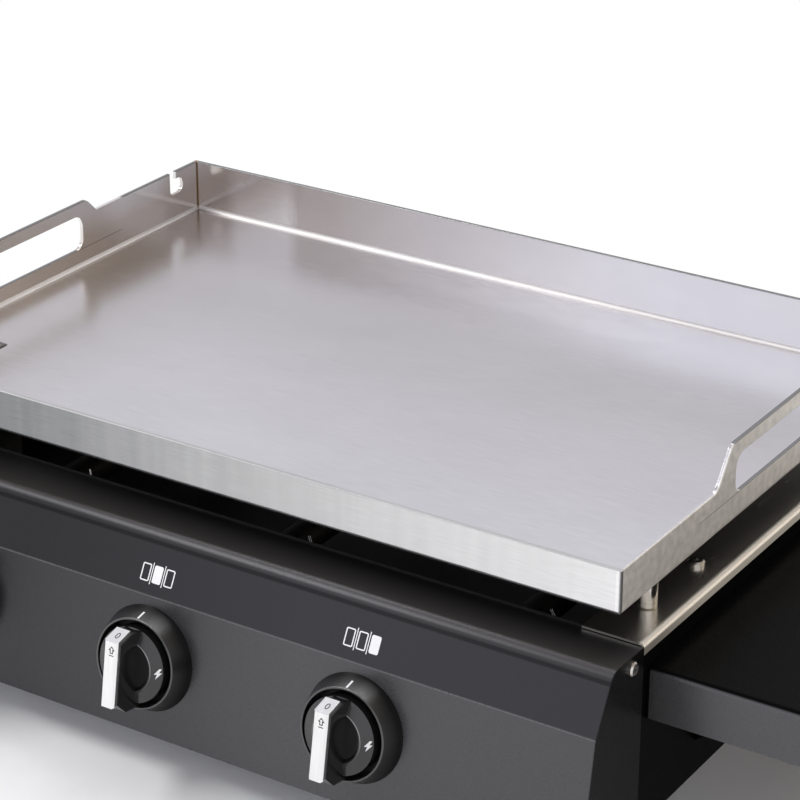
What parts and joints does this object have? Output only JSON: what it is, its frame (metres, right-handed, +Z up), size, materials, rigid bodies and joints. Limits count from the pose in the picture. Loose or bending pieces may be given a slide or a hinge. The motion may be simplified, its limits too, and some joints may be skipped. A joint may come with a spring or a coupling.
{
  "type": "gas griddle",
  "caption": "Counter-top gas griddle: folded stainless plate with handle ears on posts over a black base with burners, push-and-turn knobs, grease drawer and a side shelf.",
  "frame": {"origin": "on the table, under the middle of the whole griddle, shelf included: 106 mm to the right of the middle of the cooking plate", "axes": "+X to the right along the control panel, +Y to the back, +Z up"},
  "size_m": [0.845, 0.5842, 0.23],
  "materials": {
    "plate_steel": "fine satin stainless",
    "post_steel": "turned stainless",
    "rail_steel": "polished stainless",
    "black_panel": "fine textured powder coat",
    "firebox_enamel": "matt heat-proof black",
    "zinc_sheet": "zinc plated",
    "burner_steel": "plain stainless tube",
    "drawer_steel": "plain stainless sheet",
    "gas_pipe": "zinc plated tube",
    "brass": "plain brass",
    "valve_alloy": "die cast",
    "seat_steel": "bright steel",
    "ceramic": "glazed ceramic",
    "lead_sheath": "silicone sheath",
    "bezel_black": "satin black plastic",
    "dial_black": "polished black plastic",
    "stripe_chrome": "satin chrome",
    "screw_steel": "bright steel",
    "black_screw": "black oxide",
    "foot_rubber": "black rubber"
  },
  "bodies": {
    "chassis": {"back_panel": "black_panel", "base_pan": "zinc_sheet", "bezel_left": "bezel_black", "bezel_middle": "bezel_black", "bezel_right": "bezel_black", "burner_left": "burner_steel", "burner_middle": "burner_steel", "burner_right": "burner_steel", "control_panel": "black_panel", "drain_chute": "drawer_steel", "drawer_runners": "zinc_sheet", "electrode_insulators": "ceramic", "electrode_wires": "seat_steel", "firebox": "firebox_enamel", "foot_screws": "screw_steel", "gas_inlet": "brass", "gas_manifold": "gas_pipe", "ignition_leads": "lead_sheath", "injectors": "brass", "manifold_saddles": "zinc_sheet", "panel_screws": "screw_steel", "rail_screws": "screw_steel", "rubber_feet": "foot_rubber", "shelf_brackets_right": "black_panel", "shelf_right": "black_panel", "shelf_screws": "black_screw", "side_panel_left": "black_panel", "side_panel_right": "black_panel", "side_rail_left": "rail_steel", "side_rail_right": "rail_steel", "supply_pipe": "gas_pipe", "valve_left": "valve_alloy", "valve_middle": "valve_alloy", "valve_right": "valve_alloy"},
    "plate": {"cooking_plate": "plate_steel", "plate_posts": "post_steel"},
    "drawer": {"grease_drawer": "drawer_steel"},
    "push_left": {"spring_seat_left": "seat_steel"},
    "knob_left": {"valve_stem_left": "brass", "dial_left": "dial_black", "dial_stripe_left": "stripe_chrome"},
    "push_middle": {"spring_seat_middle": "seat_steel"},
    "knob_middle": {"valve_stem_middle": "brass", "dial_middle": "dial_black", "dial_stripe_middle": "stripe_chrome"},
    "push_right": {"spring_seat_right": "seat_steel"},
    "knob_right": {"valve_stem_right": "brass", "dial_right": "dial_black", "dial_stripe_right": "stripe_chrome"}
  },
  "joints": [
    {"name": "plate_lift", "type": "slide", "parent": "chassis", "child": "plate", "axis": [0, 0, 1], "range_m": [0, 0.15]},
    {"name": "drawer_slide", "type": "slide", "parent": "chassis", "child": "drawer", "axis": [-1, 0, 0], "range_m": [0, 0.08]},
    {"name": "knob_push_left", "type": "slide", "parent": "chassis", "child": "push_left", "axis": [0, 0.9863, -0.165], "range_m": [0, 0.004], "stiffness_N_per_m": 800, "springref_m": -0.004},
    {"name": "knob_turn_left", "type": "hinge", "parent": "push_left", "child": "knob_left", "pos_m": [-0.2738, -0.24929, 0.0754], "axis": [0, -0.9863, 0.165], "range_deg": [0, 210]},
    {"name": "knob_push_middle", "type": "slide", "parent": "chassis", "child": "push_middle", "axis": [0, 0.9863, -0.165], "range_m": [0, 0.004], "stiffness_N_per_m": 800, "springref_m": -0.004},
    {"name": "knob_turn_middle", "type": "hinge", "parent": "push_middle", "child": "knob_middle", "pos_m": [-0.1163, -0.24929, 0.0754], "axis": [0, -0.9863, 0.165], "range_deg": [0, 210]},
    {"name": "knob_push_right", "type": "slide", "parent": "chassis", "child": "push_right", "axis": [0, 0.9863, -0.165], "range_m": [0, 0.004], "stiffness_N_per_m": 800, "springref_m": -0.004},
    {"name": "knob_turn_right", "type": "hinge", "parent": "push_right", "child": "knob_right", "pos_m": [0.0412, -0.24929, 0.0754], "axis": [0, -0.9863, 0.165], "range_deg": [0, 210]}
  ]
}
